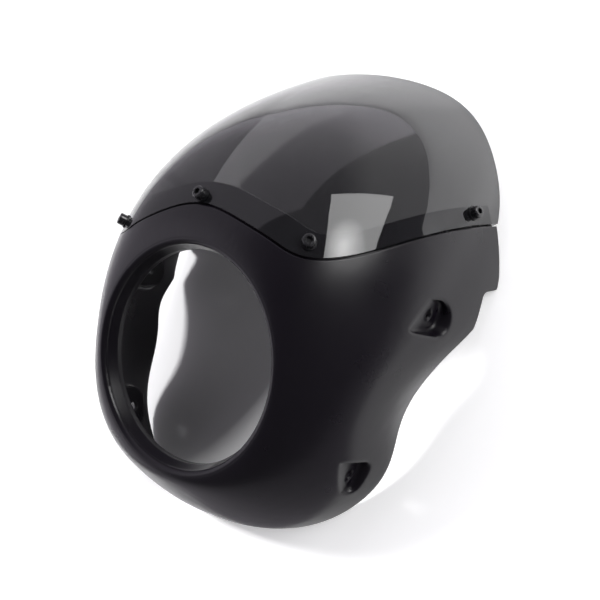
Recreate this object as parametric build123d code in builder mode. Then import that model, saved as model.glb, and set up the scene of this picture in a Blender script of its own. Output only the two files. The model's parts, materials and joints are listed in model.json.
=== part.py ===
"""Headlight cowl: a moulded shell with a round lamp opening, and a smoked screen fastened on top.

Millimetres. The lamp axis is Y, the lamp looks along -Y, Z is up, and the origin is the middle of
the round seat that takes the lamp. The two sides mirror each other about X = 0.
"""

import os
from math import comb, cos, exp, radians, sin

from build123d import *

os.makedirs("parts", exist_ok=True)

# Lamp opening: a lip rolls in to a tapered flange that ends in the lamp's round seat
lamp_radius = 71.0
lamp_wall = 2.8
lamp_land = 4.0
lamp_depth = 14.5
lip_rise = 6.0
lip_round = 3.5
lip_lap = 1.0
lip_radius = lamp_radius + lip_rise
lip_front = lamp_land / 2 - lamp_depth

# Skin form: sections fan out behind the lip circle, the last one wide and leaning back
fan_depth = 132.0
fan_lean = 0.46
width_growth = (0.0, 9.0, 39.0, 63.0, 72.0)
crown_growth = (0.0, 39.0, 85.0, 128.0, 173.0)
keel_growth = (0.0, 8.0, 12.0, 48.0, 45.0)
beam_height = (0.0, 3.0, 42.0, 73.0)
upper_power = (2.0, 2.5, 2.0, 2.2)
lower_power = (2.0, 3.0, 2.1, 2.5)
waist_depth = 29.0
waist_height = -18.0
waist_spread = 36.0

# Walls and fits
shell_wall = 3.5
screen_thickness = 3.0
screen_clearance = 0.2
seam_gap = 1.6

# Seam between shell and screen, seen from the front: X and Z of one half
seam_peak = 99.6
seam_points = ((29.0, 93.7), (60.0, 81.5), (85.0, 73.0), (109.0, 82.3), (131.0, 101.5), (150.0, 114.0))
flange_wall = 3.0
flange_height = 16.0
flange_lap = 5.0

# Rear edges, seen from the side: distance behind the lip, and Z
shell_rear = ((62.0, -128.0), (74.5, -100.0), (84.8, -61.0), (89.3, -32.0), (98.0, -5.0), (107.0, 15.0),
              (120.0, 28.5), (130.6, 38.0))
ear_corners = ((136.3, 63.2), (153.2, 65.6), (154.5, 74.0), (151.5, 130.0))
ear_rounds = (4.0, 6.5, 3.0)
screen_rear = ((151.5, 106.0), (161.6, 127.3), (172.5, 161.8), (179.0, 187.0), (178.0, 206.0),
               (168.0, 216.0), (146.0, 223.0))

# Bracket pockets: leaning flat floors and drafted walls, each with a clearance hole for an M6 bolt.
# Centres are the distance behind the lip, and Z; the hole lies behind the centre.
pocket_lean = 13.0
pocket_draft = 8.0
pocket_reach = 28.0
bracket_hole = 6.5
upper_pocket_floor = 130.0
upper_pocket_centre = (81.5, 45.9)
upper_pocket_size = (39.0, 22.0)
upper_pocket_round = 10.5
upper_hole_offset = 5.9
lower_pocket_floor = 102.9
lower_pocket_centre = (50.0, -61.8)
lower_pocket_size = (32.0, 24.0)
lower_pocket_round = 6.0
lower_hole_offset = 8.5

# M5 screen fasteners
screw_diameter = 5.0
screw_hole = 5.6
head_diameter = 8.5
head_height = 5.0
head_round = 1.2
socket_width = 4.0
socket_depth = 2.5
washer_diameter = 10.0
washer_hole = 5.3
washer_thickness = 1.0
nut_width = 8.0
nut_height = 5.0
screw_spare = 2.0
head_clearance = 0.05
nut_clearance = 0.2
centre_screw_edge = 6.2
side_screw_edge = 9.6
front_screw_share = 0.4925
rear_screw_share = 0.9225

# Cutter reach beyond the whole cowl
reach = 300.0


def law(values, share):
    """Bezier value at a share of the fan, from 0 at the lip to 1 at the last section."""
    degree = len(values) - 1
    return sum(
        comb(degree, i) * (1 - share) ** (degree - i) * share**i * value for i, value in enumerate(values)
    )


def skin_point(share, angle):
    """Point of the outer skin on one fan section, at an angle up from the widest line."""
    side = cos(radians(angle))
    rise = sin(radians(angle))
    beam = law(beam_height, share)
    half_width = lip_radius + law(width_growth, share)
    if rise >= 0:
        power = law(upper_power, share)
        half_height = lip_radius + law(crown_growth, share) - beam
    else:
        power = law(lower_power, share)
        half_height = lip_radius + law(keel_growth, share) + beam
    radius = ((abs(side) / half_width) ** power + (abs(rise) / half_height) ** power) ** (-1 / power)
    z = beam + radius * rise
    waist = waist_depth * share**4 * exp(-(((z - waist_height) / waist_spread) ** 2))
    return ((radius - waist) * side, lip_front + share**2 * (fan_depth + fan_lean * z), z)


def skin_face(low_angle, high_angle, sections=16, columns=30):
    """Outer skin between two angles, with the sections running from the lip to the last one."""
    angles = [low_angle + (high_angle - low_angle) * j / columns for j in range(columns + 1)]
    return Face.make_surface_from_array_of_points(
        [[skin_point(i / sections, angle) for angle in angles] for i in range(sections + 1)]
    )


# Front, side and plan views through the lip's front plane
front_view = Plane((0, lip_front, 0), x_dir=(1, 0, 0), z_dir=(0, -1, 0))
side_view = Plane((0, lip_front, 0), x_dir=(0, 1, 0), z_dir=(1, 0, 0))
plan_view = Plane((0, lip_front, 0))

past_middle = 100.0
skin = skin_face(-past_middle, past_middle)
upper_skin = skin_face(5.0, past_middle)

# Seam curve and the curves that run beside it, in the front view
with BuildLine() as seam:
    Spline((0.0, seam_peak), *seam_points, tangents=((1.0, 0.0), (1.0, 0.5)))


def beside_seam(distance):
    """Points of a curve that runs beside the seam, above it where the distance is positive."""
    edge = seam.edges()[0]
    places = []
    for share in (0.0, 0.12, 0.25, 0.38, 0.5, 0.62, 0.75, 0.88, 1.0):
        along = edge.tangent_at(share)
        places.append(edge.position_at(share) + Vector(-along.Y, along.X) * distance)
    return [(place.X, place.Y) for place in places]


def seam_region(low, high):
    """Front-view area between two distances from the seam; None runs on to the end of the reach."""
    with BuildSketch() as region:
        with BuildLine():
            ends = []
            for distance, level in ((low, -reach), (high, reach)):
                if distance is None:
                    ends.append(((-reach, level), (reach, level)))
                    Line(*ends[-1])
                else:
                    places = beside_seam(distance)
                    ends.append(((-reach, places[0][1]), places[-1]))
                    Line(ends[-1][0], places[0])
                    Spline(*places, tangents=((1.0, 0.0), (1.0, 0.5)))
            Line(ends[0][0], ends[1][0])
            Line(ends[0][1], ends[1][1])
        make_face()
    return region.sketch


# Recessed flange under the screen's lower edge
flange_drop = screen_thickness + screen_clearance
with BuildPart() as screen_flange:
    thicken(upper_skin, amount=-(flange_drop + flange_wall))
    thicken(upper_skin, amount=-flange_drop, mode=Mode.SUBTRACT)
    split(bisect_by=Plane.YZ)
    with BuildSketch(front_view):
        add(seam_region(-flange_lap, flange_height))
    extrude(amount=reach, both=True, mode=Mode.INTERSECT)


def pocket_floor(across, centre):
    """Plane of a pocket floor: it looks sideways and, by its lean, a little down."""
    lean = radians(pocket_lean)
    along, height = centre
    return Plane((across, lip_front + along, height), x_dir=(0, 1, 0), z_dir=(cos(lean), 0, -sin(lean)))


# Inner bulges that carry the pocket floors, trimmed to the skin
upper_floor = pocket_floor(upper_pocket_floor, upper_pocket_centre)
lower_floor = pocket_floor(lower_pocket_floor, lower_pocket_centre)
pockets = (
    (upper_floor, upper_pocket_size, upper_pocket_round, upper_hole_offset),
    (lower_floor, lower_pocket_size, lower_pocket_round, lower_hole_offset),
)
with BuildPart() as pocket_bosses:
    for floor, (length, height), corner, _ in pockets:
        with BuildSketch(floor.offset(-shell_wall)):
            RectangleRounded(length + 2 * shell_wall, height + 2 * shell_wall, corner + shell_wall)
        extrude(amount=pocket_reach, taper=-pocket_draft)
    thicken(skin, amount=2 * pocket_reach, mode=Mode.SUBTRACT)

# Screw seats on the outer skin: centre, front pair and rear pair
seam_edge = seam.edges()[0]
seats = []
for share, edge_distance in (
    (0.0, centre_screw_edge),
    (front_screw_share, side_screw_edge),
    (rear_screw_share, side_screw_edge),
):
    along = seam_edge.tangent_at(share)
    spot = seam_edge.position_at(share) + Vector(-along.Y, along.X) * edge_distance
    seat, normal = skin.find_intersection_points(Axis((spot.X, -reach, spot.Y), (0, 1, 0)))[0]
    seats.append(Plane(seat, z_dir=normal))
    if share > 0:
        seats.append(Plane((-seat.X, seat.Y, seat.Z), z_dir=(-normal.X, normal.Y, normal.Z)))

# Shell
with BuildPart() as cowl_shell:
    thicken(skin, amount=-shell_wall)
    split(bisect_by=Plane.YZ)
    with BuildSketch(front_view):
        add(seam_region(0.0, None))
    extrude(amount=reach, both=True, mode=Mode.SUBTRACT)
    add(screen_flange.part)
    add(pocket_bosses.part)
    for floor, (length, height), corner, hole_offset in pockets:
        with BuildSketch(floor):
            RectangleRounded(length, height, corner)
        extrude(amount=pocket_reach, taper=-pocket_draft, mode=Mode.SUBTRACT)
        with BuildSketch(floor.offset(-2 * shell_wall)):
            with Locations((hole_offset, 0)):
                Circle(bracket_hole / 2)
        extrude(amount=3 * shell_wall, mode=Mode.SUBTRACT)
    with BuildSketch(side_view) as behind_shell:
        with BuildLine():
            Spline(*shell_rear)
            Polyline(shell_rear[-1], *ear_corners, (reach, reach), (reach, shell_rear[0][1]), shell_rear[0])
        make_face()
        for corner, radius in zip((shell_rear[-1], *ear_corners), ear_rounds):
            fillet(behind_shell.vertices().sort_by_distance(corner)[0], radius)
    extrude(amount=reach, mode=Mode.SUBTRACT)
    mirror(about=Plane.YZ)
    with BuildSketch(front_view.offset(lip_round)):
        Circle(lip_radius + lip_lap)
    extrude(amount=-3 * lip_round, mode=Mode.SUBTRACT)
    with BuildSketch(plan_view):
        with BuildLine():
            lip_outer = lip_radius + lip_lap
            tongue = lip_outer + 2 * lip_lap
            RadiusArc((lip_radius, 0), (lip_radius - lip_round, lip_round), lip_round)
            Polyline(
                (lip_radius - lip_round, lip_round),
                (lamp_radius, lamp_depth - lamp_land),
                (lamp_radius, lamp_depth),
                (lamp_radius + lamp_wall, lamp_depth),
                (lamp_radius + lamp_wall, lamp_depth - lamp_land),
                (lip_radius, shell_wall + lip_lap),
                (lip_outer, shell_wall),
                (tongue, 0.9 * shell_wall),
                (tongue, 0.45 * shell_wall),
                (lip_outer, 0.45 * shell_wall),
                (lip_outer, 0.1 * lip_lap),
                (lip_radius, 0),
            )
        make_face()
    revolve(axis=Axis.Y)
    with Locations(*seats):
        Cylinder(screw_hole / 2, 8 * flange_wall, mode=Mode.SUBTRACT)

# Screen
with BuildPart() as windscreen:
    thicken(upper_skin, amount=-screen_thickness)
    split(bisect_by=Plane.YZ)
    with BuildSketch(front_view):
        add(seam_region(None, seam_gap))
    extrude(amount=reach, both=True, mode=Mode.SUBTRACT)
    with BuildSketch(side_view):
        with BuildLine():
            Spline(*screen_rear)
            Polyline(
                screen_rear[-1],
                (screen_rear[-1][0], reach),
                (reach, reach),
                (reach, 0),
                (screen_rear[0][0], 0),
                screen_rear[0],
            )
        make_face()
    extrude(amount=reach, mode=Mode.SUBTRACT)
    mirror(about=Plane.YZ)
    with Locations(*seats):
        Cylinder(screw_hole / 2, 8 * flange_wall, mode=Mode.SUBTRACT)

# One of each fastener, standing on a seat at the origin
stack = flange_drop + flange_wall
head_base = head_clearance + washer_thickness
nut_top = -(stack + nut_clearance + washer_thickness)
low_end = (Align.CENTER, Align.CENTER, Align.MIN)
high_end = (Align.CENTER, Align.CENTER, Align.MAX)

with BuildPart() as one_screw:
    with Locations((0, 0, head_base)):
        Cylinder(head_diameter / 2, head_height, align=low_end)
    fillet(one_screw.edges().group_by(Axis.Z)[-1], head_round)
    with Locations((0, 0, head_base)):
        Cylinder(screw_diameter / 2, head_base - nut_top + nut_height + screw_spare, align=high_end)
    with BuildSketch(Plane.XY.offset(head_base + head_height)):
        RegularPolygon(socket_width / 2, 6, major_radius=False)
    extrude(amount=-socket_depth, mode=Mode.SUBTRACT)

with BuildPart() as one_head_washer:
    with Locations((0, 0, head_clearance)):
        Cylinder(washer_diameter / 2, washer_thickness, align=low_end)
        Cylinder(washer_hole / 2, washer_thickness, align=low_end, mode=Mode.SUBTRACT)

with BuildPart() as one_nut_washer:
    with Locations((0, 0, nut_top)):
        Cylinder(washer_diameter / 2, washer_thickness, align=low_end)
        Cylinder(washer_hole / 2, washer_thickness, align=low_end, mode=Mode.SUBTRACT)

with BuildPart() as one_nut:
    with BuildSketch(Plane.XY.offset(nut_top)):
        RegularPolygon(nut_width / 2, 6, major_radius=False)
        Circle(screw_diameter / 2, mode=Mode.SUBTRACT)
    extrude(amount=-nut_height)

# The five of each, on their seats
with BuildPart() as screen_screws:
    with Locations(*seats):
        add(one_screw.part)

with BuildPart() as head_washers:
    with Locations(*seats):
        add(one_head_washer.part)

with BuildPart() as nut_washers:
    with Locations(*seats):
        add(one_nut_washer.part)

with BuildPart() as lock_nuts:
    with Locations(*seats):
        add(one_nut.part)

cowl_shell.part.label = "cowl_shell"
export_step(cowl_shell.part, "parts/cowl_shell.step")
windscreen.part.label = "windscreen"
export_step(windscreen.part, "parts/windscreen.step")
screen_screws.part.label = "screen_screws"
export_step(screen_screws.part, "parts/screen_screws.step")
head_washers.part.label = "head_washers"
export_step(head_washers.part, "parts/head_washers.step")
nut_washers.part.label = "nut_washers"
export_step(nut_washers.part, "parts/nut_washers.step")
lock_nuts.part.label = "lock_nuts"
export_step(lock_nuts.part, "parts/lock_nuts.step")
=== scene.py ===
"""Headlight cowl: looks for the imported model, in metres, in the CAD frame."""

import json
import math

import bpy
from mathutils import Matrix, Vector

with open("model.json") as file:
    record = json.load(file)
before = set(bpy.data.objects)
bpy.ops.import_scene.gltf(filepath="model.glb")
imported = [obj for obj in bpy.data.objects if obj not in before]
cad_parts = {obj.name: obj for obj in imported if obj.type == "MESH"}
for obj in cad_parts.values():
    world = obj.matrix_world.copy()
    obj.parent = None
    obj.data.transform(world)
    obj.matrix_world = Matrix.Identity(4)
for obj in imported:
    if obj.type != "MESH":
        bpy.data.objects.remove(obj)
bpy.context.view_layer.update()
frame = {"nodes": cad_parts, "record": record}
nodes = frame["nodes"]
scene = bpy.context.scene
scene.view_settings.view_transform = "Standard"
white = (1.0, 1.0, 1.0, 1.0)

# Range that holds most of a noise
noise_low, noise_high = 0.3, 0.7


class Nodes:
    """Adds nodes to a node tree and links them."""

    def __init__(self, tree):
        self.tree = tree

    def feed(self, socket, value):
        """Link a socket to an output, or set it to a constant."""
        if isinstance(value, bpy.types.NodeSocket):
            self.tree.links.new(value, socket)
        else:
            socket.default_value = value

    def add(self, kind, settings=None, **values):
        """New node with its settings, and values for the sockets of those names."""
        made = self.tree.nodes.new("ShaderNode" + kind)
        for name, setting in (settings or {}).items():
            setattr(made, name, setting)
        for name, value in values.items():
            self.feed(made.inputs[name.replace("_", " ")], value)
        return made

    def operate(self, kind, operation, *values, **settings):
        """New math node that works on some values."""
        made = self.add(kind, {"operation": operation, **settings})
        for socket, value in zip(made.inputs, values):
            self.feed(socket, value)
        return made

    def calculate(self, operation, first, second, **settings):
        """Number worked out from two numbers."""
        return self.operate("Math", operation, first, second, **settings).outputs["Value"]

    def measure(self, operation, *vectors):
        """Number worked out from vectors, such as their distance."""
        return self.operate("VectorMath", operation, *vectors).outputs["Value"]

    def span(self, value, start, end, first, last, **settings):
        """Level that goes from first to last while a value goes from start to end."""
        limits = {"From_Min": start, "From_Max": end, "To_Min": first, "To_Max": last}
        return self.add("MapRange", settings, Value=value, **limits).outputs["Result"]

    def mix_shaders(self, share, first, second):
        """Shader that goes from the first to the second by a share."""
        made = self.add("MixShader", Fac=share)
        self.feed(made.inputs[1], first)
        self.feed(made.inputs[2], second)
        return made.outputs["Shader"]


class Finish(Nodes):
    """Material made of procedural nodes."""

    def __init__(self, name):
        self.material = bpy.data.materials.new(name)
        self.material.use_nodes = True
        super().__init__(self.material.node_tree)
        self.surface = self.tree.nodes["Principled BSDF"]
        self.here = self.add("TexCoord").outputs["Object"]

    def give(self, **values):
        """Give the surface its values, by the names of its sockets."""
        for name, value in values.items():
            self.feed(self.surface.inputs[name.replace("_", " ")], value)

    def noise(self, scale, detail=3.0, rough=0.5):
        """Noise of a scale, as a number at each place."""
        made = self.add("TexNoise", Vector=self.here, Scale=scale, Detail=detail, Roughness=rough)
        return made.outputs["Fac"]

    def colour(self, source, dark, light, start=noise_low, end=noise_high):
        """Vary the colour between two tones."""
        made = self.add("ValToRGB", Fac=source)
        for stop, place, tone in zip(made.color_ramp.elements, (start, end), (dark, light)):
            stop.position = place
            stop.color = (*tone, 1.0)
        self.give(Base_Color=made.outputs["Color"])

    def roughness(self, source, low, high):
        """Vary the roughness between two levels."""
        self.give(Roughness=self.span(source, noise_low, noise_high, low, high))

    def bump(self, source, distance, strength, **under):
        """Normal of a surface that a source raises, on top of another normal if one is given."""
        made = self.add("Bump", Height=source, Distance=distance, Strength=strength, **under)
        return made.outputs["Normal"]

    def nearest(self, places):
        """Distance to the nearest of some places in the frame."""
        closest, *others = [self.measure("DISTANCE", self.here, place) for place in places]
        for other in others:
            closest = self.calculate("MINIMUM", closest, other)
        return closest

    def spread(self, middle, reach, start, end, first, last):
        """Level that changes with the distance from a place, in an oval."""
        away = self.operate("VectorMath", "SUBTRACT", self.here, middle).outputs["Vector"]
        oval = self.operate("VectorMath", "DIVIDE", away, reach).outputs["Vector"]
        return self.span(self.measure("LENGTH", oval), start, end, first, last)


def satin_plastic():
    """Satin black moulded plastic with a fine grain. Its edges look softest round the pockets."""
    s = Finish("satin_black_plastic")
    s.colour(s.noise(14.0, detail=4.0), dark=(0.0027, 0.0019, 0.0039), light=(0.0037, 0.0027, 0.005))
    s.roughness(s.noise(40.0, detail=5.0), low=0.27, high=0.31)
    pockets = [m["pos_m"] for m in frame["record"]["mounts"] if m["name"].startswith("bracket")]
    pocket_radius, edge_radius = 0.004, 0.0012
    pocket_reach, pocket_fade = 0.02, 0.03
    radius = s.span(s.nearest(pockets), pocket_reach, pocket_fade, pocket_radius, edge_radius)
    soft_edge = s.add("Bevel", {"samples": 8}, Radius=radius).outputs["Normal"]
    grain = s.bump(s.noise(2600.0, detail=2.0), distance=0.00002, strength=0.35, Normal=soft_edge)
    swell = s.bump(s.noise(22.0, detail=2.0), distance=0.00012, strength=0.25, Normal=grain)
    s.give(Normal=swell, IOR=1.5)
    return s.material


def smoked_sheet():
    """Polished smoked acrylic, see-through, with a slightly uneven tint and polish."""
    s = Finish("smoked_acrylic")
    s.colour(s.noise(30.0), dark=(0.006, 0.006, 0.007), light=(0.009, 0.009, 0.0105))
    s.roughness(s.noise(18.0, detail=2.0), low=0.012, high=0.022)
    s.give(IOR=1.58, Specular_IOR_Level=0.68, Alpha=0.735)
    return s.material


def coated_steel():
    """Black coated screw steel, a little mottled."""
    s = Finish("black_coated_steel")
    mottle = s.noise(420.0, detail=5.0, rough=0.65)
    s.colour(mottle, dark=(0.007, 0.007, 0.008), light=(0.018, 0.018, 0.02), start=0.45, end=0.75)
    s.roughness(s.noise(700.0, detail=4.0), low=0.18, high=0.3)
    s.give(Normal=s.bump(s.noise(1500.0), distance=0.00002, strength=0.3), Specular_IOR_Level=0.8)
    return s.material


def nylon():
    """Black nylon with a dull grain."""
    s = Finish("black_nylon")
    s.colour(s.noise(300.0), dark=(0.005, 0.005, 0.006), light=(0.009, 0.009, 0.01))
    s.roughness(s.noise(500.0), low=0.3, high=0.42)
    s.give(Normal=s.bump(s.noise(1200.0, detail=2.0), distance=0.00003, strength=0.3))
    return s.material


def plated_steel(name):
    """Zinc plated steel with a mottled sheen."""
    s = Finish(name)
    s.colour(s.noise(260.0, detail=5.0, rough=0.6), dark=(0.34, 0.35, 0.37), light=(0.52, 0.52, 0.53))
    s.roughness(s.noise(400.0, detail=4.0), low=0.25, high=0.42)
    s.give(Normal=s.bump(s.noise(1500.0), distance=0.00002, strength=0.3), Metallic=1.0)
    return s.material


finishes = {
    "cowl_shell": satin_plastic(),
    "windscreen": smoked_sheet(),
    "screen_screws": coated_steel(),
    "head_washers": nylon(),
    "nut_washers": plated_steel("plated_washer_steel"),
    "lock_nuts": plated_steel("plated_nut_steel"),
}
for node, material in finishes.items():
    slots = nodes[node].data.materials
    slots.clear()
    slots.append(material)


def way_to(azimuth_deg, elevation_deg):
    """Direction from the cowl: azimuth 0 is in front of it, and 90 at its near side."""
    azimuth = math.radians(azimuth_deg)
    elevation = math.radians(elevation_deg)
    flat = math.cos(elevation)
    return Vector((math.sin(azimuth) * flat, -math.cos(azimuth) * flat, math.sin(elevation)))


# Camera: the photograph's view, with its tilt about the viewing line
view_azimuth, view_elevation = 35.144, 4.354
view_roll = math.radians(6.581)
eye = Vector((0.3494, -0.3809, 0.0842))
sensor_width = 36.0
picture_width_px, focal_length_px = 600.0, 780.0

back = way_to(view_azimuth, view_elevation)
level = Vector((0.0, 0.0, 1.0)).cross(back).normalized()
upright = back.cross(level)
right = level * math.cos(view_roll) + upright * math.sin(view_roll)
up = upright * math.cos(view_roll) - level * math.sin(view_roll)
camera_data = bpy.data.cameras.new("photo_camera")
camera_data.sensor_width = sensor_width
camera_data.lens = sensor_width * focal_length_px / picture_width_px
camera_data.clip_start = 0.01
camera = bpy.data.objects.new("photo_camera", camera_data)
camera.matrix_world = Matrix.Translation(eye) @ Matrix((right, up, back)).transposed().to_4x4()
scene.collection.objects.link(camera)
scene.camera = camera

# Floor: the cowl lies on its back, on its lower edge and the tips of its two ears
rest_lean = math.radians(25.2)
floor_gap = 0.0003
floor_normal = Vector((0.0, -math.cos(rest_lean), math.sin(rest_lean)))
lowest = min(floor_normal.dot(v.co) for n in nodes.values() for v in n.data.vertices)
floor_turn = Matrix.Rotation(math.radians(90.0) - rest_lean, 4, "X")
floor_place = floor_turn @ Matrix.Translation((0.0, 0.0, lowest - floor_gap))

# Places on the floor are measured across it and up it. The table ends in front of the cowl.
floor_left, floor_right = -1.4, 1.3
floor_front, floor_back = -1.2, 2.2
table_edge = [(floor_left, -0.456), (0.2, -0.047), (floor_right, 1.053)]


def white_floor():
    """White floor that is clear from behind, with painted light: an emission that lifts the cowl's cast
    shadow to pale.
    """
    f = Finish("white_floor")
    f.colour(f.noise(3.0, detail=2.0), dark=(0.88, 0.88, 0.885), light=(0.9, 0.9, 0.905))
    f.give(Roughness=0.8, Specular_IOR_Level=0.1, Emission_Color=white)

    # The painted light leaves out the shade that is seen through the lamp opening
    shade_middle, shade_reach = Vector((-0.09, 0.1, 0.0)), Vector((0.09, 0.16, 1.0))
    shadow_middle, shadow_reach = Vector((0.08, -0.02, 0.0)), Vector((1.0, 1.0, 1.0))
    painted_lift_level = 0.36
    outside_shade = f.spread(shade_middle, shade_reach, start=1.05, end=1.35, first=0.0, last=painted_lift_level)
    in_shadow = f.spread(shadow_middle, shadow_reach, start=0.26, end=0.36, first=1.0, last=0.0)
    path = f.add("LightPath").outputs
    mirrored = f.calculate("ADD", path["Is Glossy Ray"], path["Is Transmission Ray"], use_clamp=True)
    seen = f.calculate("ADD", path["Is Camera Ray"], mirrored, use_clamp=True)
    # Painted light: floor emission near the cowl that brightens its cast shadow, for camera, glossy and
    # transmission rays
    painted_lift = f.calculate("MULTIPLY", seen, f.calculate("MULTIPLY", outside_shade, in_shadow))
    f.give(Emission_Strength=painted_lift)

    behind = f.add("NewGeometry").outputs["Backfacing"]
    clear = f.add("BsdfTransparent").outputs["BSDF"]
    one_sided = f.mix_shaders(behind, f.surface.outputs["BSDF"], clear)
    f.feed(f.tree.nodes["Material Output"].inputs["Surface"], one_sided)
    return f.material


floor_material = white_floor()


def lay(name, corners):
    """Flat piece of floor under the cowl, from its corners."""
    mesh = bpy.data.meshes.new(name)
    mesh.from_pydata([(x, y, 0.0) for x, y in corners], [], [range(len(corners))])
    mesh.materials.append(floor_material)
    piece = bpy.data.objects.new(name, mesh)
    scene.collection.objects.link(piece)
    piece.matrix_world = floor_place
    piece.visible_shadow = False
    return piece


# The apron carries the floor on past the table's edge, and is left out of reflections
lay("table", [*table_edge, (floor_right, floor_back), (floor_left, floor_back)])
apron = lay("apron", [(floor_left, floor_front), (floor_right, floor_front), *reversed(table_edge)])
apron.visible_glossy = False

# Studio: a white tent, open towards the viewer, where the room is dim
scene.world = bpy.data.worlds.new("studio")
scene.world.use_nodes = True
sky = Nodes(scene.world.node_tree)
look = sky.add("TexCoord").outputs["Generated"]
edge_softness = 0.012
ridge_normal, front_normal = (1.0, 0.06, -0.225), (0.677, -0.541, -0.502)
room_level, low_room_gain = 0.12, 0.2
dip_start, dip_end = 0.15, 0.25
tent_tint = (0.95, 0.9, 1.0, 1.0)


def along(direction):
    """How far a look goes along a direction, from -1 to 1."""
    return sky.measure("DOT_PRODUCT", look, direction)


def blend(value, start, end, first, last):
    """Smooth step from the first level to the last."""
    return sky.span(value, start, end, first, last, interpolation_type="SMOOTHSTEP")


def beyond(edge_normal):
    """1 on the side of a tent edge that its normal points to, 0 on the other."""
    return blend(along(Vector(edge_normal).normalized()), -edge_softness, edge_softness, 0.0, 1.0)


depth = along((0.0, 1.0, 0.0))
height = along((0.0, 0.0, 1.0))
below = along(-floor_normal)
open_side = sky.calculate("MAXIMUM", beyond(ridge_normal), beyond(front_normal))
before_rear_wall = blend(depth, start=0.44, end=0.5, first=1.0, last=0.0)
open_front = sky.calculate("MULTIPLY", open_side, before_rear_wall)
opening = sky.calculate("MAXIMUM", open_front, blend(below, dip_start, dip_end, 0.0, 1.0))
room = sky.calculate("ADD", room_level, blend(below, dip_start, dip_end, 0.0, low_room_gain))
front_wall = blend(height, start=-0.05, end=0.38, first=1.02, last=0.5)
rear_wall_gain = blend(depth, start=0.12, end=0.55, first=0.0, last=0.68)
wall = sky.calculate("ADD", front_wall, rear_wall_gain)
tent = sky.tree.nodes["Background"]
tent.inputs["Color"].default_value = tent_tint
tent_level = sky.add("Mix", Factor=opening, A=wall, B=room).outputs["Result"]
sky.feed(tent.inputs["Strength"], tent_level)

# The camera sees plain white behind the cowl, and so do rays that pass through a material
backdrop = sky.add("Background", Color=white, Strength=1.0)
rays = sky.add("LightPath").outputs
clear_view = sky.calculate("MAXIMUM", rays["Is Camera Ray"], rays["Is Transmission Ray"])
studio = sky.mix_shaders(clear_view, tent.outputs["Background"], backdrop.outputs["Background"])
sky.feed(sky.tree.nodes["World Output"].inputs["Surface"], studio)

cowl_middle = Vector((0.0, 0.06, 0.04))


def softbox(name, azimuth, elevation, distance, width, height, power, edge=(1.0, 1.0, 0.0)):
    """Rectangular light in a direction from the cowl's middle, turned towards it."""
    data = bpy.data.lights.new(name, "AREA")
    data.shape = "RECTANGLE"
    data.size = width
    data.size_y = height
    data.energy = power
    light = bpy.data.objects.new(name, data)
    way = way_to(azimuth, elevation)
    light.location = cowl_middle + way * distance
    edge_way = Vector(edge)
    across = (edge_way - way * edge_way.dot(way)).normalized()
    light.rotation_euler = Matrix((across, way.cross(across), way)).transposed().to_euler()
    scene.collection.objects.link(light)
    return light


def glow(light, spot, reach, near, far):
    """Let a light's face fade outwards from one spot on it."""
    light.data.use_nodes = True
    face = Nodes(light.data.node_tree)
    away = face.measure("DISTANCE", face.add("NewGeometry").outputs["Parametric"], spot)
    strength = face.span(away, start=0.0, end=reach, first=near, last=far)
    face.feed(face.tree.nodes["Emission"].inputs["Strength"], strength)


# The window light is the one that shows in the screen
window_light = softbox(
    "window_light", azimuth=74.4, elevation=44.9, distance=2.4, width=1.24, height=1.35, power=24.0,
    edge=(0.5, 0.82, -0.27),
)
glow(window_light, spot=(0.42, 0.2, 0.0), reach=0.42, near=2.5, far=0.85)

# The fill lights have no reflection
fills = [
    softbox("left_light", azimuth=-48.0, elevation=17.0, distance=1.3, width=0.2, height=0.3, power=17.0),
    softbox("right_light", azimuth=78.0, elevation=12.0, distance=1.3, width=0.6, height=0.6, power=8.0),
    softbox("top_light", azimuth=-20.0, elevation=70.0, distance=1.4, width=0.9, height=0.9, power=5.0),
]
for fill in fills:
    fill.visible_glossy = False

# The rear light serves the back of the cowl
softbox("rear_light", azimuth=-140.0, elevation=5.0, distance=1.2, width=0.8, height=0.8, power=12.0)
